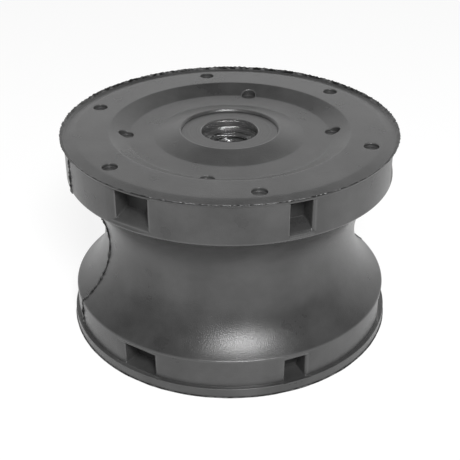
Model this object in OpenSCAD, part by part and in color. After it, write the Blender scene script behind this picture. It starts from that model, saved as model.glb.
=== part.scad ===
// Spool-shaped engine mount: a moulded rubber body bonded round two steel end plates,
// each plate carried by a turned steel hub with a blind threaded hole.
// The axis is Z, the lower end face lies on z = 0, and the front is -Y.

/* [Overall] */
// Height between the two flat end faces
height = 87.6; // [80:0.2:110]
// Diameter of the flange walls
wall_d = 137.6; // [136:0.2:140]
// Diameter of the lips where the end moulds close on the side moulds
lip_d = 140.6; // [140.4:0.2:144]
// Depth under the end face at which the thin upper lip flares from the wall
upper_lip_h = 1.8; // [1.6:0.1:4]
// Depth of the upper lip's edge under the end face
lip_edge_depth = 0.1; // [0.1:0.1:0.4]
// Thickness of the upper lip at its edge
lip_edge_t = 0.5; // [0.3:0.1:0.8]
// Height of the square lower lip
lower_lip_h = 4.8; // [2:0.1:5.2]
// Diameter at the middle of the waist
waist_d = 109.5; // [100:0.5:120]
// Rubber left on the wall between a rim pocket and the waist
flange_web = 1.6; // [1.4:0.1:4]
// Rounding where the flange walls turn into the waist
waist_edge_r = 1.6; // [0.3:0.1:2]

/* [End faces] */
// Outer diameter of the dished groove in each end face
groove_d = 100.6; // [98:0.2:104]
// Outer diameter of the groove's flat floor
groove_floor_d = 85; // [82:0.5:92]
// Diameter at the foot of the central boss
boss_foot_d = 63; // [56:0.5:68]
// Depth of the groove's floor under the end face
groove_depth = 3.5; // [2.5:0.1:4]
// Depth of the boss's crest under the end face
crest_depth = 0.9; // [0.4:0.1:1.4]
// Width of the crest round the hub recess
crest_w = 1; // [0.6:0.1:2]
// Diameter of the recess that leaves the hub's face bare
recess_d = 40; // [38:0.5:42]
// Depth of the hub's face under the end face
hub_face_depth = 2; // [1.6:0.1:3]
// Width of the crowned border of each end face
crown_w = 6; // [3:0.1:6.4]
// Fall of the crowned border at the lip
crown_drop = 0.8; // [0.2:0.1:1.2]
// Rounding of the dished faces' corners
dish_r = 2.2; // [1:0.1:3]

/* [Rim pockets] */
// Azimuth of the side moulds' draw line, from the front towards +X
draw_az = 22.5; // [0:0.5:60]
// Angle from the draw line to the pockets beside it
pocket_spread = 57.5; // [55:0.5:62]
// Width of a pocket at the plate
pocket_w = 9.2; // [7:0.1:11]
// Angle by which a side pocket's wall opens towards the draw line
pocket_flare = 40; // [20:1:45]
// Fall of a pocket's sloping side from the plate to the wall
ramp_drop = 3.3; // [1.5:0.1:4.5]
// Rubber that laps over the plate's edge at the top of that slope
ramp_lap = 0.5; // [0.2:0.1:1]
// How far the plate's edge stands out of the rubber at the back of a pocket
plate_step = 0.4; // [0.1:0.1:1]

/* [Pin marks] */
// Diameter of the marks left by the mould's locating pins
pin_d = 6.2; // [4:0.1:6.4]
// Bevel at the mouths of the outer pin marks
pin_bevel = 0.6; // [0.2:0.1:0.8]
// Depth of the pin marks under the end face or the groove's floor
pin_depth = 1.5; // [1:0.1:3]
// Number of outer pin marks on each end face
outer_pins = 6; // [3:1:8]
// Pitch circle of the outer pin marks
outer_pin_circle_d = 120; // [114:0.5:122]
// Azimuth of the first outer pin mark
outer_pin_az = 10.4; // [0:0.1:20]
// Pitch circle of the inner pin marks
inner_pin_circle_d = 86.6; // [80:0.2:92]
// Azimuth midway between two inner pin marks
inner_pin_az = 40.3; // [30:0.1:50]
// Angle from that line to each of the two marks
inner_pin_spread = 51.8; // [40:0.1:55]

/* [Steel plates] */
// Diameter of the plates
plate_d = 122; // [118:0.5:126]
// Thickness of the plates
plate_t = 6; // [4:0.2:8]
// Rubber cover over a plate's outer face
plate_cover = 6.8; // [6:0.1:8]

/* [Steel hubs] */
// Nominal diameter of the hub's thread
thread_d = 20; // [16:1:22]
// Pitch of the thread
thread_pitch = 2.5; // [1.5:0.5:2.5]
// Depth of the threaded hole under the counterbore
thread_depth = 19.5; // [15:0.5:22]
// Diameter of the counterbore at the hole's mouth
counterbore_d = 23.8; // [23.4:0.2:27]
// Depth of the counterbore
counterbore_depth = 4.6; // [2:0.1:6]
// Bevel on the hub's edges
hub_bevel = 0.5; // [0.2:0.1:0.8]
// Diameter of the hub where it passes through the plate
hub_d = 46; // [44:0.5:50]
// Radial clearance of the plate's bore round the hub
plate_clearance = 0.05; // [0.02:0.01:0.1]
// Diameter of the shoulder that the plate sits on
shoulder_d = 58; // [54:0.5:64]
// Thickness of the shoulder
shoulder_t = 5; // [3:0.2:8]
// Steel left under the threaded hole
hub_floor = 4; // [3:0.2:6]

/* [Hidden] */
$fn = 96;
arc_steps = 8;
waist_steps = 40;
overlap = 1;

wall_r = wall_d / 2;
lip_r = lip_d / 2;
waist_r = waist_d / 2;
plate_r = plate_d / 2;
hub_r = hub_d / 2;
plate_inner_depth = plate_cover + plate_t;
pocket_back_r = plate_r - plate_step;
pocket_mouth_depth = plate_inner_depth - ramp_lap + ramp_drop;
flange_h = pocket_mouth_depth + flange_web;
plate_mid_depth = plate_cover + plate_t / 2;
waist_half_h = height / 2 - flange_h;
waist_sag = wall_r - waist_r;
waist_arc_r = (waist_half_h ^ 2 + waist_sag ^ 2) / (2 * waist_sag);
waist_arc_angle = asin(waist_half_h / waist_arc_r);
thread_h = thread_pitch * sqrt(3) / 2;
thread_bore_r = thread_d / 2 - 5 / 8 * thread_h;
bore_start_depth = hub_face_depth + counterbore_depth;
bore_end_depth = bore_start_depth + thread_depth;
hub_end_depth = bore_end_depth + hub_floor;
crest_r = recess_d / 2 + crest_w;
// Share of a narrow face that the rounding of one of its edges takes up
edge_ratio = 0.45;
lip_edge_r = edge_ratio * min(lower_lip_h - crown_drop, lip_r - wall_r);
crest_edge_r = edge_ratio * min(crest_w, hub_face_depth - crest_depth);

// Points of the arc that rounds the corner q between p and s
function corner(p, q, s, radius) =
    let (
        u = (p - q) / norm(p - q),
        v = (s - q) / norm(s - q),
        between = acos(u * v),
        centre = q + (u + v) / norm(u + v) * radius / sin(between / 2),
        start = q + u * radius / tan(between / 2) - centre,
        turn = sign(cross(v, u)) * (180 - between)
    )
    [for (i = [0:arc_steps])
        let (a = turn * i / arc_steps)
        centre + [start.x * cos(a) - start.y * sin(a), start.x * sin(a) + start.y * cos(a)]];

// Outline through points [r, z, rounding], each corner turned into its arc
function rounded(path) =
    let (
        last = len(path) - 1,
        flat = [for (p = path) [p.x, p.y]]
    )
    [for (i = [0:last])
        each path[i].z == 0
            ? [flat[i]]
            : corner(flat[i == 0 ? last : i - 1], flat[i], flat[i == last ? 0 : i + 1], path[i].z)];

function lip_h(upper) = upper ? upper_lip_h : lower_lip_h;

// Outline of a lip: the upper one is thin and flares outwards, the lower one is square
function lip_path(upper) = upper
    ? [
        [wall_r, crown_drop, 0],
        [lip_r - lip_edge_t / 2, lip_edge_depth, 0],
        [lip_r, lip_edge_depth + lip_edge_t, 0],
        [wall_r, upper_lip_h, 0]
    ]
    : [
        [lip_r, crown_drop, lip_edge_r],
        [lip_r, lower_lip_h, lip_edge_r]
    ];

// Half section of the rubber that an end mould forms, as [r, depth under the face, rounding]
function end_path(upper) = concat(
    [
        [0, hub_face_depth, 0],
        [recess_d / 2, hub_face_depth, 0],
        [recess_d / 2, crest_depth, crest_edge_r],
        [crest_r, crest_depth, crest_edge_r],
        [boss_foot_d / 2, groove_depth, dish_r],
        [groove_floor_d / 2, groove_depth, dish_r],
        [groove_d / 2, 0, dish_r / 2],
        [lip_r - crown_w, 0, dish_r]
    ],
    lip_path(upper),
    [
        [pocket_back_r, lip_h(upper), 0],
        [pocket_back_r, plate_mid_depth, 0],
        [0, plate_mid_depth, 0]
    ]
);

// Waist between the two flange walls, from the lower edge to the upper one
waist_path = [
    for (i = [0:waist_steps])
        let (a = waist_arc_angle * (2 * i / waist_steps - 1))
        [waist_r + waist_arc_r * (1 - cos(a)), height / 2 + waist_arc_r * sin(a),
            i == 0 || i == waist_steps ? waist_edge_r : 0]
];

// Half section of the rubber that the side moulds form, as [r, z, rounding]
side_path = concat(
    [
        [0, plate_mid_depth, 0],
        [pocket_back_r, plate_mid_depth, 0],
        [pocket_back_r, lower_lip_h, 0],
        [wall_r, lower_lip_h, 0]
    ],
    waist_path,
    [
        [wall_r, height - upper_lip_h, 0],
        [pocket_back_r, height - upper_lip_h, 0],
        [pocket_back_r, height - plate_mid_depth, 0],
        [0, height - plate_mid_depth, 0]
    ]
);

// Puts the children, built inward from z = 0, at the lower or the upper end
module at_end(upper) {
    translate([0, 0, upper ? height : 0])
        mirror([0, 0, upper ? 1 : 0])
            children();
}

// Outer form of a plate without its bore
module plate_blank() {
    translate([0, 0, plate_cover])
        cylinder(r = plate_r, h = plate_t);
}

// Outer form of a hub without its hole
module hub_blank() {
    rotate_extrude()
        polygon([
            [0, hub_face_depth],
            [hub_r, hub_face_depth],
            [hub_r, plate_inner_depth],
            [shoulder_d / 2, plate_inner_depth],
            [shoulder_d / 2, plate_inner_depth + shoulder_t],
            [hub_r, plate_inner_depth + shoulder_t],
            [hub_r, hub_end_depth - hub_bevel],
            [hub_r - hub_bevel, hub_end_depth],
            [0, hub_end_depth]
        ]);
}

module end_plate() {
    difference() {
        plate_blank();
        translate([0, 0, plate_cover - overlap])
            cylinder(r = hub_r + plate_clearance, h = plate_t + 2 * overlap);
    }
}

module end_hub() {
    difference() {
        hub_blank();
        translate([0, 0, hub_face_depth - overlap])
            cylinder(d = counterbore_d, h = counterbore_depth + overlap);
        translate([0, 0, hub_face_depth])
            cylinder(d1 = counterbore_d + 2 * hub_bevel, d2 = counterbore_d, h = hub_bevel);
        translate([0, 0, bore_start_depth])
            cylinder(r1 = thread_bore_r + hub_bevel, r2 = thread_bore_r, h = hub_bevel);
        translate([0, 0, bore_start_depth - overlap])
            cylinder(r = thread_bore_r, h = thread_depth + overlap);
    }
}

// Rim pocket towards -Y that bares the plate's edge; side says which wall opens
module rim_pocket(roof_depth, side) {
    inner_r = pocket_back_r - overlap;
    outer_r = max(wall_r, lip_r) + overlap;
    opening = (outer_r - plate_r) * tan(pocket_flare);
    slope = ramp_drop / (wall_r - plate_r);
    intersection() {
        translate([0, 0, roof_depth - overlap])
            linear_extrude(height)
                polygon([
                    [-pocket_w / 2, -inner_r],
                    [pocket_w / 2, -inner_r],
                    [pocket_w / 2, -plate_r],
                    [pocket_w / 2 + max(side, 0) * opening, -outer_r],
                    [-pocket_w / 2 + min(side, 0) * opening, -outer_r],
                    [-pocket_w / 2, -plate_r]
                ]);
        rotate([90, 0, 90])
            translate([0, 0, -outer_r])
                linear_extrude(2 * outer_r)
                    polygon([
                        [-inner_r, 0],
                        [-inner_r, pocket_mouth_depth - (wall_r - inner_r) * slope],
                        [-outer_r, pocket_mouth_depth + (outer_r - wall_r) * slope],
                        [-outer_r, 0]
                    ]);
    }
}

// Six pockets round one flange, three to each side mould
module rim_pockets(roof_depth) {
    for (half = [0, 180], side = [-1, 0, 1])
        rotate(draw_az + half + side * pocket_spread)
            rim_pocket(roof_depth, -side);
}

// Round mark that a locating pin left in an end face
module pin_mark(circle_d, az, depth) {
    rotate(az)
        translate([0, -circle_d / 2, -overlap])
            cylinder(d = pin_d, h = depth + overlap);
}

// Bevelled mouth of a pin mark in the flat border
module pin_mouth(circle_d, az) {
    rotate(az)
        translate([0, -circle_d / 2, -overlap])
            cylinder(r1 = pin_d / 2 + pin_bevel + overlap, r2 = pin_d / 2, h = pin_bevel + overlap);
}

// Marks in the flat border, and marks where the groove's floor meets its outer slope
module pin_marks() {
    for (i = [0:outer_pins - 1])
        let (az = outer_pin_az + i * 360 / outer_pins) {
            pin_mark(outer_pin_circle_d, az, pin_depth);
            pin_mouth(outer_pin_circle_d, az);
        }
    for (half = [0, 180], side = [-1, 1])
        let (az = inner_pin_az + half + side * inner_pin_spread)
            pin_mark(inner_pin_circle_d, az, groove_depth + pin_depth);
}

// Rubber between the lips, with the pockets that the side moulds leave
module side_rubber() {
    difference() {
        rotate_extrude()
            polygon(rounded(side_path));
        for (upper = [false, true])
            at_end(upper)
                rim_pockets(lip_h(upper));
    }
}

// Rubber of one dished end, with its lip
module end_rubber(upper) {
    rotate_extrude()
        polygon(rounded(end_path(upper)));
}

module rubber_body() {
    color("dimgray")
        difference() {
            union() {
                side_rubber();
                for (upper = [false, true])
                    at_end(upper)
                        end_rubber(upper);
            }
            for (upper = [false, true])
                at_end(upper) {
                    pin_marks();
                    plate_blank();
                    hub_blank();
                }
        }
}

module upper_plate() {
    color("slategray")
        at_end(true)
            end_plate();
}

module upper_hub() {
    color("silver")
        at_end(true)
            end_hub();
}

module lower_plate() {
    color("slategray")
        at_end(false)
            end_plate();
}

module lower_hub() {
    color("silver")
        at_end(false)
            end_hub();
}

rubber_body();
upper_plate();
upper_hub();
lower_plate();
lower_hub();
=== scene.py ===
# %% [markdown]
# # A rubber engine mount, from its measured model to its looks
# The mount is a spool of moulded rubber. Two steel plates are bonded inside its flanges, and each
# plate is carried by a turned hub with a tapped hole. The measured model gives the sizes and places,
# and every piece below is built in that same frame, in metres, with +Z up and the front at -Y.

# %% Load the measured model
import math

import bmesh
import bpy
import numpy as np
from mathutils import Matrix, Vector


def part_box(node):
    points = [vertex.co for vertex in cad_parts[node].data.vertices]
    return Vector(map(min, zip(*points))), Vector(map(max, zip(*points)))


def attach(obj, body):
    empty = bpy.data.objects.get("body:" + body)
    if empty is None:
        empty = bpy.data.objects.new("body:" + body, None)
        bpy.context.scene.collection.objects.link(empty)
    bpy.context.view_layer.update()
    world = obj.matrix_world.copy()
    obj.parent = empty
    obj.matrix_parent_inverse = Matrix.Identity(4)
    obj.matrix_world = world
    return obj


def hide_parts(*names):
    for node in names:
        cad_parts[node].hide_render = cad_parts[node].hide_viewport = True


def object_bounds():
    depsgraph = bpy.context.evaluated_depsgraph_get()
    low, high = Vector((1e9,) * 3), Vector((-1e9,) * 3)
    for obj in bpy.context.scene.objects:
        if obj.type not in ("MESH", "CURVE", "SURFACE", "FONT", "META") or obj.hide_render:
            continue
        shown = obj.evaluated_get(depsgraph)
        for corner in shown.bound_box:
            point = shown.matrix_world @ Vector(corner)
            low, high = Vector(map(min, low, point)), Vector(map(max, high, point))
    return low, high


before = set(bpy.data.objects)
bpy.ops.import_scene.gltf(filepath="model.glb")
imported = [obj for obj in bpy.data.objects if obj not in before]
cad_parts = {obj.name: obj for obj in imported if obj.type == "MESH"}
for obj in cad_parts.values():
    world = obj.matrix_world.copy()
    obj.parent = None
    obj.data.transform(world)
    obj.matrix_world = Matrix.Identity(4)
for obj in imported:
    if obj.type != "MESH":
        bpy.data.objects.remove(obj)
cad_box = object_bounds()
scene = bpy.context.scene
MM = 0.001

plate_low, plate_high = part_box("upper_plate")
hub_low, hub_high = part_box("upper_hub")
height = cad_box[1].z
lip_r = cad_box[1].x
plate_r = plate_high.x
plate_cover = height - plate_high.z
plate_inner = height - plate_low.z
hub_face = height - hub_high.z
hub_end = height - hub_low.z
shoulder_r = hub_high.x
print("mount", round(2 * lip_r / MM, 1), "mm across and", round(height / MM, 1), "mm high")

# %% [markdown]
# ## The camera
# The view looks down on the mount by about thirty degrees. The lens and the place were worked out
# from the ellipses of the rims, so the perspective of the flanges is right and not only their size.

# %% Place the camera
photo_px = 460
focal_px = 899.9
sensor_mm = 36.0
camera_place = (0.0, -0.34708, 0.23890)
camera_down = 30.16
centre_offset_px = 0.29

camera_data = bpy.data.cameras.new("view_camera")
camera_data.sensor_width = sensor_mm
camera_data.lens = focal_px / photo_px * sensor_mm
camera_data.shift_x = centre_offset_px / photo_px
camera = bpy.data.objects.new("view_camera", camera_data)
camera.location = camera_place
camera.rotation_euler = (math.radians(90 - camera_down), 0, 0)
scene.collection.objects.link(camera)
scene.camera = camera
scene.view_settings.view_transform = "Standard"
print("lens", round(camera_data.lens, 2), "mm")

# %% [markdown]
# ## Two small helpers for node trees
# Every shader and every Geometry Nodes tree below is made of the same three acts: add a node, set
# its values and link its sockets. One helper does that, so that a tree reads as a list of steps.


# %% Helpers for nodes
def add_node(tree, kind, links=None, **settings):
    """Adds a node; links gives each input a socket to follow or a plain value."""
    made = tree.nodes.new(kind)
    for name, value in settings.items():
        setattr(made, name, value)
    for name, value in (links or {}).items():
        if isinstance(value, bpy.types.NodeSocket):
            tree.links.new(value, made.inputs[name])
        else:
            made.inputs[name].default_value = value
    return made


def calc(tree, operation, first, second=0.0):
    """One step of arithmetic."""
    return add_node(tree, "ShaderNodeMath", {0: first, 1: second}, operation=operation).outputs[0]


# %% [markdown]
# ## The studio
# The mount stands on a white table in front of a white wall, in a room that is darker in front and
# overhead. Rubber is a dark surface with a soft gloss, so most of its shading is a reflection: the
# table shows in the walls, the wall in the flat end face, and the dark room in the slopes between.
# The table is shown as white and still takes a share of the shadow. It also glows a little, as a lit
# shooting table does, so that the undersides of the flanges are not lost.

# %% Floor and surroundings
floor_half = 6.0
floor_gap = 0.02 * MM
floor_shadow_share = 0.22
floor_albedo = 0.96
table_glow = 0.24
ambient_strength = 0.28


def seen_ray(tree):
    """1 on rays that show the background: straight, mirrored or through glass."""
    path = add_node(tree, "ShaderNodeLightPath").outputs
    either = calc(tree, "MAXIMUM", path["Is Camera Ray"], path["Is Glossy Ray"])
    return calc(tree, "MAXIMUM", either, path["Is Transmission Ray"])


def make_floor_material():
    material = bpy.data.materials.new("white_table")
    material.use_nodes = True
    tree = material.node_tree
    tree.nodes.clear()
    paper = add_node(tree, "ShaderNodeBsdfDiffuse", {"Color": (floor_albedo,) * 3 + (1,)}).outputs[0]
    glow = add_node(tree, "ShaderNodeEmission", {"Strength": table_glow}).outputs[0]
    lit = add_node(tree, "ShaderNodeAddShader", {0: paper, 1: glow}).outputs[0]
    white = add_node(tree, "ShaderNodeEmission", {"Strength": 1.0}).outputs[0]
    shown = add_node(tree, "ShaderNodeMixShader", {0: floor_shadow_share, 1: white, 2: lit}).outputs[0]
    mixed = add_node(tree, "ShaderNodeMixShader", {0: seen_ray(tree), 1: lit, 2: shown}).outputs[0]
    add_node(tree, "ShaderNodeOutputMaterial", {"Surface": mixed})
    return material


def make_world():
    world = bpy.data.worlds.new("white_wall")
    world.use_nodes = True
    tree = world.node_tree
    tree.nodes.clear()
    dim, white = (
        add_node(tree, "ShaderNodeBackground", {"Color": (1, 1, 1, 1), "Strength": level}).outputs[0]
        for level in (ambient_strength, 1.0)
    )
    mixed = add_node(tree, "ShaderNodeMixShader", {0: seen_ray(tree), 1: dim, 2: white}).outputs[0]
    add_node(tree, "ShaderNodeOutputWorld", {"Surface": mixed})
    return world


scene.world = make_world()
floor_mesh = bpy.data.meshes.new("table")
floor_mesh.from_pydata(
    [(x * floor_half, y * floor_half, -floor_gap) for x, y in ((-1, -1), (1, -1), (1, 1), (-1, 1))],
    [], [(0, 1, 2, 3)],
)
floor_mesh.materials.append(make_floor_material())
floor = bpy.data.objects.new("table", floor_mesh)
scene.collection.objects.link(floor)
print("floor", 2 * floor_half, "m wide")

# %% [markdown]
# The key lamp is small, so that it makes one clear highlight on the waist. A wide and weak lamp beside
# it softens the rim of that highlight, and a lamp overhead fills the end face without being mirrored
# in it. The dark room is a shell that only reflections see, as a photographer's black flags are.

# %% Lamps and the dark side of the room
key_azimuth = 10.0
key_elevation = 43.2
key_distance = 0.95
key_size = 0.25
key_level = 0.92
spill_size = 0.62
spill_level = 0.14
sky_level = 0.06
sky_size = 1.2
sky_height = 1.5
room_radius = 3.0
room_tilt = 45.0
room_reach = 88.0
room_grey = 0.10


def toward(azimuth, elevation):
    """Unit vector; azimuth 0 is the front, 90 is +X."""
    a, e = math.radians(azimuth), math.radians(elevation)
    return Vector((math.sin(a) * math.cos(e), -math.cos(a) * math.cos(e), math.sin(e)))


def add_lamp(name, direction, distance, size, level):
    """Square lamp aimed at the mount; level 1 shows a facing surface in its own colour."""
    data = bpy.data.lights.new(name, "AREA")
    data.size = size
    data.energy = level * math.pi**2 * distance**2
    lamp = bpy.data.objects.new(name, data)
    middle = Vector((0, 0, height / 2))
    lamp.location = middle + direction * distance
    lamp.rotation_euler = direction.to_track_quat("Z", "Y").to_euler()
    scene.collection.objects.link(lamp)
    return lamp


def add_dark_room():
    """Part of a sphere round the front and the top, seen by reflections only."""
    bm = bmesh.new()
    bmesh.ops.create_uvsphere(bm, u_segments=64, v_segments=48, radius=room_radius)
    middle = toward(0, room_tilt)
    limit = math.cos(math.radians(room_reach))
    outside = [f for f in bm.faces if f.calc_center_median().normalized().dot(middle) < limit]
    bmesh.ops.delete(bm, geom=outside, context="FACES")
    mesh = bpy.data.meshes.new("dark_room")
    bm.to_mesh(mesh)
    bm.free()
    material = bpy.data.materials.new("dark_room")
    material.use_nodes = True
    tree = material.node_tree
    tree.nodes.clear()
    glow = add_node(tree, "ShaderNodeEmission", {"Color": (room_grey,) * 3 + (1,)}).outputs[0]
    add_node(tree, "ShaderNodeOutputMaterial", {"Surface": glow})
    mesh.materials.append(material)
    room = bpy.data.objects.new("dark_room", mesh)
    scene.collection.objects.link(room)
    for kind in ("camera", "diffuse", "transmission", "volume_scatter", "shadow"):
        setattr(room, "visible_" + kind, False)
    return room


key = add_lamp("key_lamp", toward(key_azimuth, key_elevation), key_distance, key_size, key_level)
spill = add_lamp(
    "spill_lamp", toward(key_azimuth + 4, key_elevation), 1.05 * key_distance, spill_size, spill_level
)
sky = add_lamp("sky_lamp", Vector((0, 0, 1)), sky_height, sky_size, sky_level)
sky.visible_glossy = False
add_dark_room()
print("lamps", key.name, spill.name, sky.name)

# %% [markdown]
# ## Finishes that several pieces share
# Moulded rubber copies the mould's steel: a very fine grain, and broad faint clouds where the rubber
# flowed or where bloom came out. Turned steel has rings about its axis. Both effects are node groups,
# so that each material below only sets its own numbers.


# %% Grain and cloud group
def new_group(name, inputs, outputs):
    """Shader group with float sockets; inputs maps each name to its default."""
    group = bpy.data.node_groups.new(name, "ShaderNodeTree")
    for label, value in inputs.items():
        socket = group.interface.new_socket(label, in_out="INPUT", socket_type="NodeSocketFloat")
        socket.default_value = value
    for label in outputs:
        group.interface.new_socket(label, in_out="OUTPUT", socket_type="NodeSocketFloat")
    return group


def make_grain_group():
    group = new_group("mould_grain", {"Grain Scale": 2200, "Cloud Scale": 30}, ["Height", "Cloud"])
    given = add_node(group, "NodeGroupInput").outputs
    place = add_node(group, "ShaderNodeTexCoord").outputs["Object"]
    grain = add_node(
        group, "ShaderNodeTexNoise", {"Vector": place, "Scale": given["Grain Scale"], "Detail": 3.0}
    ).outputs["Fac"]
    cloud = add_node(
        group, "ShaderNodeTexNoise",
        {"Vector": place, "Scale": given["Cloud Scale"], "Detail": 4.0, "Roughness": 0.6},
    ).outputs["Fac"]
    add_node(group, "NodeGroupOutput", {"Height": grain, "Cloud": cloud})
    return group


def make_rings_group():
    group = new_group("turned_rings", {"Ring Scale": 2600, "Wobble": 0.4}, ["Height", "Shade"])
    given = add_node(group, "NodeGroupInput").outputs
    place = add_node(group, "ShaderNodeTexCoord").outputs["Object"]
    split = add_node(group, "ShaderNodeSeparateXYZ", {0: place}).outputs
    flat = add_node(group, "ShaderNodeCombineXYZ", {"X": split["X"], "Y": split["Y"]}).outputs[0]
    radius = add_node(group, "ShaderNodeVectorMath", {0: flat}, operation="LENGTH").outputs["Value"]
    along = add_node(group, "ShaderNodeCombineXYZ", {"X": radius, "Z": split["Z"]}).outputs[0]
    rings = add_node(
        group, "ShaderNodeTexNoise", {"Vector": along, "Scale": given["Ring Scale"], "Detail": 2.0}
    ).outputs["Fac"]
    stain = add_node(group, "ShaderNodeTexNoise", {"Vector": place, "Scale": 260.0, "Detail": 3.0})
    mixed = calc(group, "ADD", rings, calc(group, "MULTIPLY", stain.outputs["Fac"], given["Wobble"]))
    add_node(group, "NodeGroupOutput", {"Height": rings, "Shade": mixed})
    return group


grain_group = make_grain_group()
rings_group = make_rings_group()
print("groups", grain_group.name, rings_group.name)

# %% [markdown]
# ## Materials
# The rubber is nearly black, and its soft gloss does the rest. An attribute measured on the mesh
# mixes a lighter grey along sharp edges: a painted highlight on them, and the lighter tone of handled
# rubber. The torn flash is the same rubber, but rougher; its darker grey is partly torn rubber and
# partly painted shadow on the fins, and its light and dark patches are painted glints and shade. The
# plates carry a grey bonding coat. The hubs are turned steel, dull on the face that met the mould and
# brighter in the bore, where the tap cut last.


# %% Material maker
def mix_colour(tree, share, first, second):
    """Colour between two; each one is a grey level or a socket."""
    mixed = add_node(tree, "ShaderNodeMix", {"Factor": share}, data_type="RGBA")
    for place, value in zip((mixed.inputs[6], mixed.inputs[7]), (first, second)):
        if isinstance(value, float):
            place.default_value = (value, value, value, 1)
        else:
            tree.links.new(value, place)
    return mixed.outputs[2]


def make_material(
    name, group, group_values, shade, colours, roughness, bump,
    metallic=0.0, edge_light_grey=None, contrast=(0.2, 0.8),
):
    """Principled material whose colour and roughness follow one of the shared groups."""
    material = bpy.data.materials.new(name)
    material.use_nodes = True
    tree = material.node_tree
    tree.nodes.clear()
    effect = add_node(tree, "ShaderNodeGroup", node_tree=group)
    for label, value in group_values.items():
        effect.inputs[label].default_value = value
    share = add_node(
        tree, "ShaderNodeMapRange",
        {"Value": effect.outputs[shade], "From Min": contrast[0], "From Max": contrast[1]},
    ).outputs["Result"]
    tinted = mix_colour(tree, share, *colours)
    # Sharp edges mix in a lighter grey: a painted highlight along them, and the lighter tone of handled
    # rubber.
    if edge_light_grey:
        edges = add_node(tree, "ShaderNodeAttribute", attribute_name="wear").outputs["Fac"]
        tinted = mix_colour(tree, edges, tinted, edge_light_grey)
    rough = add_node(
        tree, "ShaderNodeMapRange", {"Value": share, "To Min": roughness[0], "To Max": roughness[1]}
    ).outputs["Result"]
    dents = add_node(
        tree, "ShaderNodeBump",
        {"Height": effect.outputs["Height"], "Strength": bump[0], "Distance": bump[1]},
    ).outputs["Normal"]
    shader = add_node(
        tree, "ShaderNodeBsdfPrincipled", {"Base Color": tinted, "Roughness": rough, "Normal": dents}
    )
    shader.inputs["Metallic"].default_value = metallic
    add_node(tree, "ShaderNodeOutputMaterial", {"Surface": shader.outputs[0]})
    return material


# The last grey is the lighter one on sharp edges, a painted highlight and their wear.
moulded_rubber = make_material(
    "grained_rubber", grain_group, {"Grain Scale": 2200, "Cloud Scale": 55}, "Cloud",
    (0.026, 0.064), (0.26, 0.32), (0.65, 0.00014), edge_light_grey=0.075,
)
# Torn flash: darker than the skin, partly as torn rubber is and partly painted shadow on the thin fins; its
# strong light and dark patches are painted glints and shade.
torn_rubber = make_material(
    "torn_rubber", grain_group, {"Grain Scale": 900, "Cloud Scale": 400}, "Cloud",
    (0.003, 0.16), (0.35, 0.6), (0.6, 0.0003), contrast=(0.45, 0.75),
)
bonding_coat = make_material(
    "bonding_coat", grain_group, {"Grain Scale": 700, "Cloud Scale": 180}, "Cloud",
    (0.016, 0.036), (0.5, 0.7), (0.35, 0.0002),
)
turned_steel = make_material(
    "turned_steel", rings_group, {"Ring Scale": 2600, "Wobble": 0.4}, "Shade",
    (0.09, 0.17), (0.34, 0.46), (0.25, 0.0001), metallic=1.0,
)
bored_steel = make_material(
    "bored_steel", rings_group, {"Ring Scale": 3400, "Wobble": 0.3}, "Shade",
    (0.10, 0.28), (0.10, 0.2), (1.0, 0.0003), metallic=0.8,
)
print("finishes", [m.name for m in (moulded_rubber, torn_rubber, bonding_coat, turned_steel, bored_steel)])

# %% [markdown]
# ## The outline of the spool
# The rubber body is one outline turned about the axis. The outline could be drawn as a curve by hand,
# but its parts follow sizes: a dished end with a groove and a boss, a lip where the moulds closed, a
# straight wall, and a waist that is one arc. So it is listed corner by corner with the rounding of
# each, and a function turns the corners into arcs. The upper lip is thin and flares outwards, and the
# lower one is square. The seats of the plate and the hub lie inside, so they get no extra steps.

# %% Sizes of the rubber
wall_r = 68.8 * MM
waist_r = 54.75 * MM
upper_lip = 1.8 * MM
lower_lip = 4.8 * MM
flange_h = 17.2 * MM
groove_r = 50.3 * MM
groove_floor_r = 42.5 * MM
boss_foot_r = 31.5 * MM
groove_depth = 3.5 * MM
crest_depth = 0.9 * MM
crest_r = 21.0 * MM
recess_r = 20.0 * MM
crown_w = 6.0 * MM
crown_drop = 0.8 * MM
upper_lip_r = 69.6 * MM
lip_edge_depth = 0.2 * MM
lip_edge_t = 0.4 * MM
hub_r = 23.0 * MM
hub_bevel = 0.5 * MM
shoulder_depth = plate_inner + 5.0 * MM
longest_step = 1.6 * MM
turn_step = math.radians(7.5)


# %% Outline with rounded corners
def round_corner(before, corner, after, radius):
    """Points of the arc that rounds a corner of the outline."""
    u = (before - corner).normalized()
    v = (after - corner).normalized()
    between = u.angle(v)
    centre = corner + (u + v).normalized() * radius / math.sin(between / 2)
    start = corner + u * radius / math.tan(between / 2) - centre
    turn = math.copysign(math.pi - between, v.x * u.y - v.y * u.x)
    steps = max(2, math.ceil(abs(turn) / turn_step))
    points = []
    for i in range(steps + 1):
        c, s = math.cos(turn * i / steps), math.sin(turn * i / steps)
        points.append(centre + Vector((start.x * c - start.y * s, start.x * s + start.y * c)))
    return points


def outline(corners, step=longest_step):
    """Outline through corners (r, z, rounding), with no stretch longer than step."""
    flat = [Vector(c[:2]) for c in corners]
    points = []
    for i, corner in enumerate(corners):
        if corner[2] == 0:
            points.append(flat[i])
        else:
            points += round_corner(flat[i - 1], flat[i], flat[i + 1], corner[2])
    filled = [points[0]]
    for point in points[1:]:
        parts = max(1, math.ceil((point - filled[-1]).length / step))
        start = filled[-1]
        filled += [start.lerp(point, i / parts) for i in range(1, parts + 1)]
    return filled


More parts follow.
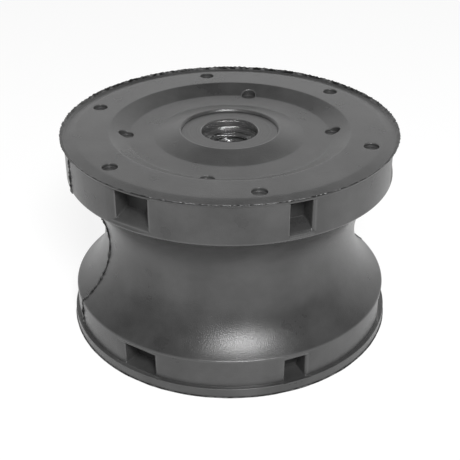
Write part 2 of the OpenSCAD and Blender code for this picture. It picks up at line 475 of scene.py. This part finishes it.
def lip_corners(upper):
    """Outline of a lip: the upper one is thin and flares outwards, the lower one is square."""
    if upper:
        return [
            (wall_r, crown_drop, 0.3 * MM),
            (upper_lip_r - lip_edge_t / 2, lip_edge_depth, 0.1 * MM),
            (upper_lip_r, lip_edge_depth + lip_edge_t, 0.1 * MM),
            (wall_r, upper_lip, 0.4 * MM),
        ]
    return [
        (lip_r, crown_drop, 0.3 * MM),
        (lip_r, lower_lip, 0.2 * MM),
        (wall_r, lower_lip, 0.15 * MM),
    ]


seat_corners = [
    (0, hub_end),
    (hub_r, hub_end),
    (hub_r, shoulder_depth),
    (shoulder_r, shoulder_depth),
    (shoulder_r, plate_inner),
    (plate_r, plate_inner),
    (plate_r, plate_cover),
    (hub_r, plate_cover),
]


def end_corners(upper):
    """One end from the edge of the hub's seat out to the wall, as (r, depth, rounding)."""
    return [
        (hub_r, hub_face, 0),
        (recess_r, hub_face, 0),
        (recess_r, crest_depth + 0.8 * MM, 0.1 * MM),
        (recess_r + 0.45 * MM, crest_depth + 0.12 * MM, 0.12 * MM),
        (crest_r, crest_depth, 0.5 * MM),
        (boss_foot_r, groove_depth, 2.6 * MM),
        (groove_floor_r, groove_depth, 2.6 * MM),
        (groove_r, 0, 1.6 * MM),
        (lip_r - crown_w, 0, 6.0 * MM),
    ] + lip_corners(upper)


waist_half = height / 2 - flange_h
waist_sag = wall_r - waist_r
waist_arc_r = (waist_half**2 + waist_sag**2) / (2 * waist_sag)
waist_arc = math.asin(waist_half / waist_arc_r)
waist_steps = 44
waist_edge = 1.1 * MM
waist_corners = []
for i in range(waist_steps + 1):
    angle = waist_arc * (2 * i / waist_steps - 1)
    edge = waist_edge if i in (0, waist_steps) else 0
    waist_corners.append(
        (waist_r + waist_arc_r * (1 - math.cos(angle)), height / 2 + waist_arc_r * math.sin(angle), edge)
    )
upper_corners = [(r, height - depth, edge) for r, depth, edge in reversed(end_corners(True))]
lower_seat = [Vector(corner) for corner in seat_corners]
upper_seat = [Vector((r, height - depth)) for r, depth in reversed(seat_corners)]
body_outline = lower_seat + outline(end_corners(False) + waist_corners + upper_corners) + upper_seat
print("outline of", len(body_outline), "points")

# %% [markdown]
# ## Turning the outline
# Blender has a Screw modifier for this. A Geometry Nodes tree does the same with one visible rule:
# a grid has a row for every step round the axis, and each of its points looks up its place on the
# outline and is swung by that row's angle. The seam and the poles are merged at the end.

# %% The turning tree
weld = 0.002 * MM


def new_tree(name, inputs):
    """Geometry tree with a geometry input and output and the named inputs."""
    tree = bpy.data.node_groups.new(name, "GeometryNodeTree")
    tree.interface.new_socket("Geometry", in_out="INPUT", socket_type="NodeSocketGeometry")
    for label, kind in inputs.items():
        tree.interface.new_socket(label, in_out="INPUT", socket_type="NodeSocket" + kind)
    tree.interface.new_socket("Geometry", in_out="OUTPUT", socket_type="NodeSocketGeometry")
    return tree, add_node(tree, "NodeGroupInput").outputs


def end_tree(tree, geometry, material):
    """Realize Instances and Set Material close every tree."""
    real = add_node(tree, "GeometryNodeRealizeInstances", {"Geometry": geometry}).outputs[0]
    painted = add_node(tree, "GeometryNodeSetMaterial", {"Geometry": real, "Material": material}).outputs[0]
    add_node(tree, "NodeGroupOutput", {"Geometry": painted})


def make_turning_tree():
    tree, given = new_tree("turn_outline", {"Segments": "Int", "Weld": "Float", "Material": "Material"})
    count = add_node(tree, "GeometryNodeAttributeDomainSize", {"Geometry": given["Geometry"]}).outputs[0]
    columns = add_node(tree, "FunctionNodeIntegerMath", {0: given["Segments"], 1: 1}, operation="ADD")
    grid = add_node(
        tree, "GeometryNodeMeshGrid", {"Vertices X": columns.outputs[0], "Vertices Y": count}
    ).outputs["Mesh"]
    index = add_node(tree, "GeometryNodeInputIndex").outputs[0]
    row = add_node(tree, "FunctionNodeIntegerMath", {0: index, 1: count}, operation="MODULO").outputs[0]
    column = add_node(
        tree, "FunctionNodeIntegerMath", {0: index, 1: count}, operation="DIVIDE_FLOOR"
    ).outputs[0]
    sample = add_node(tree, "GeometryNodeSampleIndex", data_type="FLOAT_VECTOR", domain="POINT")
    tree.links.new(given["Geometry"], sample.inputs["Geometry"])
    tree.links.new(add_node(tree, "GeometryNodeInputPosition").outputs[0], sample.inputs["Value"])
    tree.links.new(row, sample.inputs["Index"])
    spot = add_node(tree, "ShaderNodeSeparateXYZ", {0: sample.outputs[0]}).outputs
    angle = calc(tree, "DIVIDE", calc(tree, "MULTIPLY", column, math.tau), given["Segments"])
    place = add_node(
        tree, "ShaderNodeCombineXYZ",
        {
            "X": calc(tree, "MULTIPLY", spot["X"], calc(tree, "SINE", angle)),
            "Y": calc(tree, "MULTIPLY", spot["X"], calc(tree, "MULTIPLY", calc(tree, "COSINE", angle), -1)),
            "Z": spot["Z"],
        },
    ).outputs[0]
    swung = add_node(tree, "GeometryNodeSetPosition", {"Geometry": grid, "Position": place}).outputs[0]
    welded = add_node(
        tree, "GeometryNodeMergeByDistance", {"Geometry": swung, "Distance": given["Weld"]}
    ).outputs[0]
    smooth = add_node(tree, "GeometryNodeSetShadeSmooth", {"Geometry": welded}).outputs[0]
    end_tree(tree, smooth, given["Material"])
    return tree


turning_tree = make_turning_tree()
print("tree", turning_tree.name, "with", len(turning_tree.nodes), "nodes")


# %% From a tree to a plain mesh
def run_tree(name, mesh, tree, values):
    """Object whose mesh is the tree's result on the given mesh, with no modifier left."""
    piece = bpy.data.objects.new(name, mesh)
    scene.collection.objects.link(piece)
    modifier = piece.modifiers.new("tree", "NODES")
    modifier.node_group = tree
    identifiers = {s.name: s.identifier for s in tree.interface.items_tree if s.in_out == "INPUT"}
    for label, value in values.items():
        modifier[identifiers[label]] = value
    bake_modifiers(piece)
    return piece


def bake_modifiers(piece):
    """Replaces a piece's mesh by its evaluated one and removes its modifiers."""
    view = bpy.context.evaluated_depsgraph_get()
    made = bpy.data.meshes.new_from_object(piece.evaluated_get(view))
    made.name = piece.name
    piece.modifiers.clear()
    piece.data = made


def close_mesh(piece, sharp_angle=38.0):
    """Merges doubles, points the faces outwards and marks the sharp edges."""
    bm = bmesh.new()
    bm.from_mesh(piece.data)
    bmesh.ops.remove_doubles(bm, verts=bm.verts, dist=weld)
    bmesh.ops.dissolve_degenerate(bm, edges=bm.edges, dist=weld)
    bmesh.ops.recalc_face_normals(bm, faces=bm.faces)
    limit = math.radians(sharp_angle)
    for face in bm.faces:
        face.smooth = True
    for edge in bm.edges:
        edge.smooth = len(edge.link_faces) == 2 and edge.calc_face_angle(0) < limit
    open_edges = sum(1 for e in bm.edges if len(e.link_faces) != 2)
    bm.to_mesh(piece.data)
    bm.free()
    return open_edges


def mark_edge_light(piece):
    """Stores how sharply the surface bulges at each point; this sets where the edges get a lighter grey, a
    painted highlight and the tone of wear.
    """
    bm = bmesh.new()
    bm.from_mesh(piece.data)
    wear = []
    for vertex in bm.verts:
        bend = sum(e.calc_face_angle_signed(0) * e.calc_length() for e in vertex.link_edges)
        area = sum(f.calc_area() / len(f.verts) for f in vertex.link_faces)
        wear.append(min(1.0, max(0.0, bend / (2 * area) * edge_light_radius - 0.45)))
    bm.free()
    piece.data.attributes.new("wear", "FLOAT", "POINT").data.foreach_set("value", wear)


def outline_mesh(name, points):
    """Chain of edges in the XZ plane."""
    mesh = bpy.data.meshes.new(name)
    chain = [(i, i + 1) for i in range(len(points) - 1)]
    mesh.from_pydata([(p[0], 0, p[1]) for p in points], chain, [])
    return mesh


# Size of the edges that take the lighter grey of painted highlight and wear.
edge_light_radius = 1.2 * MM
body_segments = 280
body = run_tree(
    "moulded_body", outline_mesh("body_outline", body_outline), turning_tree,
    {"Segments": body_segments, "Weld": weld, "Material": moulded_rubber},
)
print("body", len(body.data.polygons), "faces,", close_mesh(body), "open edges")

# %% [markdown]
# ## Rim pockets
# Cores in the side moulds held the plates by their edges while the rubber flowed in. Each left a
# pocket: the plate's edge at its back, a floor that falls towards the mouth in a curve, and side walls
# that open towards the line along which that mould was drawn off. A plain box as a cutter would leave
# knife edges. So a core is built as a stack of rounded rectangles on cylinders of growing radius, and
# it widens in quarter ellipses at the wall. The side that the core slid past gets the widest one. The
# cores are then taken out of the body with a Boolean.

# %% Sizes of the pockets
draw_azimuth = 22.5
pocket_spread = 57.5
pocket_half_w = 4.6 * MM
pocket_flare = math.tan(math.radians(40))
pocket_back_r = 60.5 * MM
ramp_start = 12.1 * MM
ramp_fall = 3.0 * MM
ramp_bend = 1.7
sharp_mouth = (0.8 * MM, 0.8 * MM)
middle_mouth = (1.8 * MM, 1.3 * MM)
soft_mouth = (4.2 * MM, 1.2 * MM)
floor_mouth = (0.8 * MM, 1.4 * MM)
inner_round = 0.5 * MM
roof_bite = 0.1 * MM
mouth_clear = 1.6 * MM
corner_steps = 5


# %% One pocket's core
def mouth_growth(radius, mouth):
    """How much a core has widened at a radius; a mouth is rounded as a quarter ellipse."""
    wide, deep = mouth
    rise = (radius - wall_r) / deep + 1
    if rise <= 0:
        return 0.0
    if rise >= 1:
        return wide + 0.5 * (radius - wall_r)
    return wide * (1 - math.sqrt(1 - rise**2))


def core_floor(radius):
    """Depth of a pocket's slope at a radius."""
    along = (radius - pocket_back_r) / (wall_r - pocket_back_r)
    return ramp_start + ramp_fall * along**ramp_bend + mouth_growth(radius, floor_mouth)


def core_ring(radius, lip_h, opens):
    """Points (x, depth) of a core's section at a radius, as a rounded rectangle."""
    sharp = mouth_growth(radius, sharp_mouth)
    soft = mouth_growth(radius, soft_mouth)
    flared = sharp + max(0.0, radius - plate_r) * pocket_flare
    middle = mouth_growth(radius, middle_mouth)
    left = -pocket_half_w - {-1: flared, 0: sharp, 1: soft}[opens]
    right = pocket_half_w + {-1: soft, 0: middle, 1: flared}[opens]
    top = lip_h - roof_bite
    bottom = core_floor(radius)
    centres = [
        (right - inner_round, bottom - inner_round, 0),
        (left + inner_round, bottom - inner_round, 90),
        (left + inner_round, top + inner_round, 180),
        (right - inner_round, top + inner_round, 270),
    ]
    ring = []
    for x, depth, first in centres:
        for i in range(corner_steps):
            a = math.radians(first + 90 * i / (corner_steps - 1))
            ring.append((x + inner_round * math.cos(a), depth + inner_round * math.sin(a)))
    return ring


def add_core(bm, azimuth, lip_h, opens, upper):
    """Adds one pocket's core to the mesh of cores."""
    mouth_r = wall_r - floor_mouth[1]
    radii = [pocket_back_r, *np.linspace(plate_r, mouth_r, 8)]
    radii += list(wall_r - floor_mouth[1] * np.cos(np.linspace(0, math.pi / 2, 16))[1:])
    radii.append(wall_r + mouth_clear)
    c, s = math.cos(math.radians(azimuth)), math.sin(math.radians(azimuth))
    rings = []
    for radius in radii:
        ring = []
        for x, depth in core_ring(radius, lip_h, opens):
            y = -math.sqrt(radius**2 - x**2)
            z = height - depth if upper else depth
            ring.append(bm.verts.new((x * c - y * s, x * s + y * c, z)))
        rings.append(ring)
    order = -1 if upper else 1
    for inner, outer in zip(rings, rings[1:]):
        for i in range(len(inner)):
            j = (i + 1) % len(inner)
            bm.faces.new((inner[i], inner[j], outer[j], outer[i])[::order])
    bm.faces.new(rings[0][::-order])
    bm.faces.new(rings[-1][::order])


pocket_places = [(half, side) for half in (0, 180) for side in (-1, 0, 1)]
bm = bmesh.new()
for upper, lip_h in ((False, lower_lip), (True, upper_lip)):
    for half, side in pocket_places:
        add_core(bm, draw_azimuth + half + side * pocket_spread, lip_h, -side, upper)
core_mesh = bpy.data.meshes.new("pocket_cores")
bm.to_mesh(core_mesh)
bm.free()
cores = bpy.data.objects.new("pocket_cores", core_mesh)
scene.collection.objects.link(cores)
print("cores", 2 * len(pocket_places))

# %% [markdown]
# ## Pin marks
# Pins in the end moulds left shallow round marks with soft rims: six in the flat border and four in
# the groove of each end. They repeat, so a Geometry Nodes tree puts one turned pin on every point of a
# small list. The pins are sunk to follow the dished face and are taken out of the body as well.

# %% Pins on their points
pin_segments = 40
pin_above = 1.0 * MM
outer_pin_r = 60.0 * MM
outer_pin_azimuth = 10.4
inner_pin_r = 43.3 * MM
inner_pin_azimuth = 40.3
inner_pin_spread = 51.8
pin_radius = 3.1 * MM
pin_rim = 0.35 * MM
pin_depth = 1.5 * MM
face_outline = sorted(
    (p.x, height - p.y) for p in body_outline
    if crest_r < p.x < lip_r - crown_w and p.y > height - groove_depth - weld
)


def pin_outline():
    """Outline of a pin that points down from z = 0, with a bell mouth."""
    points = [(0, pin_above), (pin_radius + pin_rim, pin_above)]
    for i in range(9):
        a = math.pi / 2 * i / 8
        points.append((pin_radius + pin_rim * (1 - math.sin(a)), -pin_rim * (1 - math.cos(a))))
    bevel = 0.3 * MM
    return points + [(pin_radius, -pin_depth + bevel), (pin_radius - bevel, -pin_depth), (0, -pin_depth)]


def face_depth(radius):
    """Depth of the dished face under the flat border."""
    return float(np.interp(radius, *zip(*face_outline)))


def sink_pins(pins, pin_circle_r):
    """Sinks the mouths of the pins to the dished face, and their flat ends by one even depth."""
    even = face_depth(pin_circle_r)
    for vertex in pins.data.vertices:
        upper = vertex.co.z > height / 2
        depth = height - vertex.co.z if upper else vertex.co.z
        flat_end = depth > pin_depth - 0.31 * MM
        depth += even if flat_end else face_depth(math.hypot(vertex.co.x, vertex.co.y))
        vertex.co.z = height - depth if upper else depth


def make_pin_tree():
    tree, given = new_tree("pins_on_points", {"Pin": "Object", "Material": "Material"})
    pin = add_node(tree, "GeometryNodeObjectInfo", {"Object": given["Pin"]}).outputs["Geometry"]
    turn = add_node(
        tree, "GeometryNodeInputNamedAttribute", {"Name": "turn"}, data_type="FLOAT_VECTOR"
    ).outputs[0]
    placed = add_node(
        tree, "GeometryNodeInstanceOnPoints",
        {"Points": given["Geometry"], "Instance": pin, "Rotation": turn},
    ).outputs[0]
    end_tree(tree, placed, given["Material"])
    return tree


def pin_points(name, places):
    """Mesh of points on both ends; the attribute turn points each pin inwards."""
    spots = [toward(azimuth, 0) * r for r, azimuth in places]
    mesh = bpy.data.meshes.new(name)
    mesh.from_pydata([(s.x, s.y, z) for z in (height, 0) for s in spots], [], [])
    turns = [angle for first in (0, math.pi) for _ in spots for angle in (first, 0, 0)]
    mesh.attributes.new("turn", "FLOAT_VECTOR", "POINT").data.foreach_set("vector", turns)
    return mesh


pin_tree = make_pin_tree()
pin_kinds = {
    "outer_pins": [(outer_pin_r, outer_pin_azimuth + 60 * i) for i in range(6)],
    "inner_pins": [
        (inner_pin_r, inner_pin_azimuth + half + side * inner_pin_spread)
        for half in (0, 180) for side in (-1, 1)
    ],
}
pin = run_tree(
    "pin", outline_mesh("pin", pin_outline()), turning_tree,
    {"Segments": pin_segments, "Weld": weld, "Material": moulded_rubber},
)
close_mesh(pin)
cutters = [cores]
for name, places in pin_kinds.items():
    pins = run_tree(name, pin_points(name, places), pin_tree, {"Pin": pin, "Material": moulded_rubber})
    sink_pins(pins, places[0][0])
    cutters.append(pins)
    print(name, 2 * len(places))
bpy.data.objects.remove(pin)

# %% Cut the body
for cutter in cutters:
    cut = body.modifiers.new(cutter.name, "BOOLEAN")
    cut.operation = "DIFFERENCE"
    cut.solver = "MANIFOLD"
    cut.object = cutter
bake_modifiers(body)
for cutter in cutters:
    bpy.data.objects.remove(cutter)
print("cut body", len(body.data.polygons), "faces,", close_mesh(body), "open edges")
# Measures the edges that get the painted highlight and the lighter grey of wear.
mark_edge_light(body)
body.data.materials.clear()
body.data.materials.append(moulded_rubber)
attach(body, "root")
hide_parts("rubber_body")

# %% [markdown]
# ## Flash
# Where two mould halves close, a little rubber is squeezed out and torn off, and a thin ragged fin
# stays. There is one round the edge of each end face, and one down each side where the two side
# moulds met. Each starts as a strip of two rows along its route. A Geometry Nodes tree raises the
# outer row by a noise, so the edge is torn by one rule with a fixed seed, and Solidify gives the
# strip its thickness.


# %% The tearing tree
def make_tear_tree():
    tree, given = new_tree(
        "tear_flash",
        {"Lowest": "Float", "Highest": "Float", "Tear Scale": "Float", "Seed": "Float",
         "Material": "Material"},
    )
    stand = add_node(
        tree, "GeometryNodeInputNamedAttribute", {"Name": "stand"}, data_type="FLOAT_VECTOR"
    ).outputs[0]
    place = add_node(tree, "GeometryNodeInputPosition").outputs[0]
    noise = add_node(
        tree, "ShaderNodeTexNoise",
        {"Vector": place, "W": given["Seed"], "Scale": given["Tear Scale"], "Detail": 3.0,
         "Roughness": 0.65},
        noise_dimensions="4D",
    ).outputs["Fac"]
    tall = add_node(
        tree, "ShaderNodeMapRange",
        {"Value": noise, "From Min": 0.36, "From Max": 0.66, "To Min": given["Lowest"],
         "To Max": given["Highest"]},
    ).outputs["Result"]
    lift = add_node(tree, "ShaderNodeVectorMath", {0: stand, "Scale": tall}, operation="SCALE").outputs[0]
    raised = add_node(tree, "GeometryNodeSetPosition", {"Geometry": given["Geometry"], "Offset": lift})
    end_tree(tree, raised.outputs[0], given["Material"])
    return tree


tear_tree = make_tear_tree()


def strip_mesh(name, route, closed):
    """Two rows of points along a route of (root, direction); only the outer row stands."""
    count = len(route)
    rows = [root for root, _ in route] + [root + out * 0.01 * MM for root, out in route]
    stands = [0.0] * (3 * count)
    for _, out in route:
        stands += list(out)
    last = count if closed else count - 1
    faces = [(i, (i + 1) % count, count + (i + 1) % count, count + i) for i in range(last)]
    mesh = bpy.data.meshes.new(name)
    mesh.from_pydata(rows, [], faces)
    mesh.attributes.new("stand", "FLOAT_VECTOR", "POINT").data.foreach_set("vector", stands)
    return mesh


# Every fin takes the torn flash finish, with its painted shadow and painted glints.
def add_flash(name, route, closed, lowest, highest, tear, seed, thick):
    """Torn fin along a route, riding on the mount."""
    fin = run_tree(
        name, strip_mesh(name, route, closed), tear_tree,
        {"Lowest": lowest, "Highest": highest, "Tear Scale": tear, "Seed": seed, "Material": torn_rubber},
    )
    shell = fin.modifiers.new("thickness", "SOLIDIFY")
    shell.thickness = thick
    shell.offset = 0
    bake_modifiers(fin)
    open_edges = close_mesh(fin)
    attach(fin, "root")
    print(name, len(fin.data.polygons), "faces,", open_edges, "open edges")
    return fin


# %% Flash round the end faces
flash_steps = 1080
flash_tear = 420.0


def ring_route(radius, z, outwards, upwards):
    """Route round the axis whose fins lean outwards."""
    route = []
    for i in range(flash_steps):
        out = toward(360 * i / flash_steps, 0)
        lean = (out * outwards + Vector((0, 0, upwards))).normalized()
        route.append((out * radius + Vector((0, 0, z)), lean))
    return route


upper_flash = add_flash(
    "upper_flash", ring_route(upper_lip_r - 0.3 * MM, height - 0.45 * MM, 0.76, 0.65), True,
    1.0 * MM, 1.6 * MM, 1.8 * flash_tear, 3.0, 0.24 * MM,
)
lower_flash = add_flash(
    "lower_flash", ring_route(lip_r - 0.3 * MM, 0.95 * MM, 1.0, -0.35), True,
    0.55 * MM, 0.7 * MM, 0.3 * flash_tear, 8.0, 0.36 * MM,
)

# %% Flash down the sides
side_outline = [p for p in body_outline if p.x > waist_r - weld]
lowest_wall = lower_lip + 0.2 * MM
highest_wall = height - upper_lip - 0.2 * MM


def side_route(azimuth):
    """Route down the walls and the waist at one azimuth, standing square to the surface."""
    points = [p for p in side_outline if lowest_wall < p.y < highest_wall]
    dense = [points[0]]
    for point in points[1:]:
        parts = max(1, math.ceil((point - dense[-1]).length / (0.4 * MM)))
        start = dense[-1]
        dense += [start.lerp(point, i / parts) for i in range(1, parts + 1)]
    out = toward(azimuth, 0)
    route = []
    for i, point in enumerate(dense):
        along = (dense[min(i + 1, len(dense) - 1)] - dense[max(i - 1, 0)]).normalized()
        stand = out * along.y - Vector((0, 0, along.x))
        root = out * point.x + Vector((0, 0, point.y)) - stand * 0.3 * MM
        route.append((root, stand))
    return route


sides = (("left", draw_azimuth - 90, 1.0, 1.15 * MM), ("right", draw_azimuth + 90, 5.0, 0.6 * MM))
for label, azimuth, seed, highest in sides:
    add_flash(
        "parting_flash_" + label, side_route(azimuth), False,
        0.45 * MM, highest, 1.6 * flash_tear, seed, 0.75 * MM,
    )

# %% [markdown]
# Inside each pocket a thin film of rubber crept along the core's lower edge, and it tore when the
# mould was drawn off. The films use the same tree: their roots run up the corner between the slope
# and a side wall, and they lean so that their faces catch the light as the real shreds do.

# %% Torn films in the pockets
film_face = toward(5, 33)
film_steps = 40


def film_route(azimuth, side, upper):
    """Route up the corner between a pocket's slope and the wall at one side of it."""
    across = toward(azimuth + 90, 0)
    roots = []
    for radius in np.linspace(plate_r + 0.3 * MM, wall_r - 1.2 * MM, film_steps):
        depth = core_floor(radius) - 0.05 * MM
        rise = Vector((0, 0, height - depth if upper else depth))
        roots.append(toward(azimuth, 0) * radius + across * side * (pocket_half_w - 0.1 * MM) + rise)
    along = (roots[-1] - roots[0]).normalized()
    stand = film_face.cross(along).normalized()
    stand *= math.copysign(1, stand.z) if upper else -math.copysign(1, stand.z)
    return [(root, stand) for root in roots]


film_spots = [(half, side, upper) for half, side in pocket_places for upper in (True, False)]
for number, (half, side, upper) in enumerate(film_spots):
    name = "pocket_film_" + str(number + 1)
    route = film_route(draw_azimuth + half + side * pocket_spread, side if side else 1, upper)
    add_flash(name, route, False, -0.25 * MM, 0.55 * MM, 1.6 * flash_tear, 11.0 + number, 0.12 * MM)

# %% [markdown]
# ## Turned hubs
# The hub was turned and tapped: a faced end in the recess, a counterbore, and an M20 thread below a
# small countersink. A tapped hole is a surface with one radius for every height and angle, so it is
# a grid whose rows follow the helix, with the radius read from the thread's own profile. Rows past
# either end are held at that end, and the doubles that this makes are merged. The bore gets the
# brighter finish and all the rest the dull one.

# %% Sizes of the hub
thread_r = 10.0 * MM
thread_pitch = 2.5 * MM
minor_r = thread_r - 5 / 8 * thread_pitch * math.sqrt(3) / 2
counterbore_r = 11.9 * MM
counterbore_end = hub_face + 4.6 * MM
bore_end = counterbore_end + 19.5 * MM
countersink = 0.3 * MM
runout = 3.0 * MM
thread_start = 0.845
hub_segments = 120
thread_rows = (0, 0.125, 0.25, 0.354, 0.458, 0.5625, 0.625, 0.6875, 0.792, 0.896)


# %% One hub
def thread_profile(phase):
    """Radius of the tapped surface over one pitch: flat crest, flank, flat root, flank."""
    return np.interp(phase, (0, 0.25, 0.5625, 0.6875, 1), (minor_r, minor_r, thread_r, thread_r, minor_r))


def hub_outline():
    """Outline of a hub from the axis at its inner end round to the thread's mouth, as (r, depth)."""
    corners = [
        (0, hub_end, 0),
        (hub_r, hub_end, hub_bevel),
        (hub_r, shoulder_depth, 0.2 * MM),
        (shoulder_r, shoulder_depth, hub_bevel),
        (shoulder_r, plate_inner, 0.2 * MM),
        (hub_r, plate_inner, 0.2 * MM),
        (hub_r, hub_face, 0.2 * MM),
        (counterbore_r, hub_face, 0.3 * MM),
        (counterbore_r, counterbore_end, 0.25 * MM),
        (thread_r + 0.4 * MM, counterbore_end, 0),
    ]
    return outline(corners, 0.8 * MM)


def hole_radius(depth, angle):
    """Radius of the tapped hole, with its countersink and the thread's run-out."""
    below = depth - counterbore_end
    threaded = float(thread_profile((below / thread_pitch - angle / math.tau + thread_start) % 1))
    opened = max(threaded, minor_r + countersink - below)
    return min(opened, max(minor_r, minor_r + (bore_end - runout - depth) * 0.8))


def make_hub(name, node, upper):
    """Hub as one closed mesh: the turned outside, the tapped hole and its flat bottom."""
    bm = bmesh.new()
    angles = np.linspace(0, math.tau, hub_segments, endpoint=False)

    def place(r, depth, angle):
        x, y, z = r * math.sin(angle), -r * math.cos(angle), -depth
        return (x, y, height + z) if upper else (x, -y, -z)

    def add_rows(rows):
        made = [[bm.verts.new(place(r, d, a)) for r, d, a in row] for row in rows]
        for one, two in zip(made, made[1:]):
            for i in range(len(one) - 1):
                bm.faces.new((one[i], one[i + 1], two[i + 1], two[i]))

    round_angles = list(angles) + [math.tau]
    outside = [[(p.x, p.y, a) for a in round_angles] for p in hub_outline()]
    add_rows(outside + [[(hole_radius(counterbore_end, a), counterbore_end, a) for a in round_angles]])
    turns = math.ceil((bore_end - counterbore_end) / thread_pitch) + 1
    rows = []
    for turn in range(-1, turns + 1):
        for phase in thread_rows:
            row = []
            for angle in round_angles:
                free = counterbore_end + (turn + phase + angle / math.tau - thread_start) * thread_pitch
                depth = min(max(free, counterbore_end), bore_end)
                row.append((hole_radius(depth, angle), depth, angle))
            rows.append(row)
    add_rows(rows)
    add_rows([[(r, bore_end, a) for a in round_angles] for r in (minor_r, minor_r / 2, 0)])
    mesh = bpy.data.meshes.new(name)
    bm.to_mesh(mesh)
    bm.free()
    hub = bpy.data.objects.new(name, mesh)
    scene.collection.objects.link(hub)
    open_edges = close_mesh(hub, 30.0)
    mesh.materials.append(turned_steel)
    mesh.materials.append(bored_steel)
    for face in mesh.polygons:
        face.material_index = int(math.hypot(face.center.x, face.center.y) < counterbore_r + 0.2 * MM)
    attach(hub, "root")
    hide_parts(node)
    print(name, len(mesh.polygons), "faces,", open_edges, "open edges")
    return hub


upper_hub = make_hub("upper_hub_turned", "upper_hub", True)
lower_hub = make_hub("lower_hub_turned", "lower_hub", False)

# %% [markdown]
# ## Plates
# The plates show only at the backs of the pockets. Their solids are already right, so they stay as
# they are and take the finish of the bonding coat.

# %% Finish of the plates
for name in ("upper_plate", "lower_plate"):
    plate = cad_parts[name]
    plate.data.materials.clear()
    plate.data.materials.append(bonding_coat)
print("plates finished")
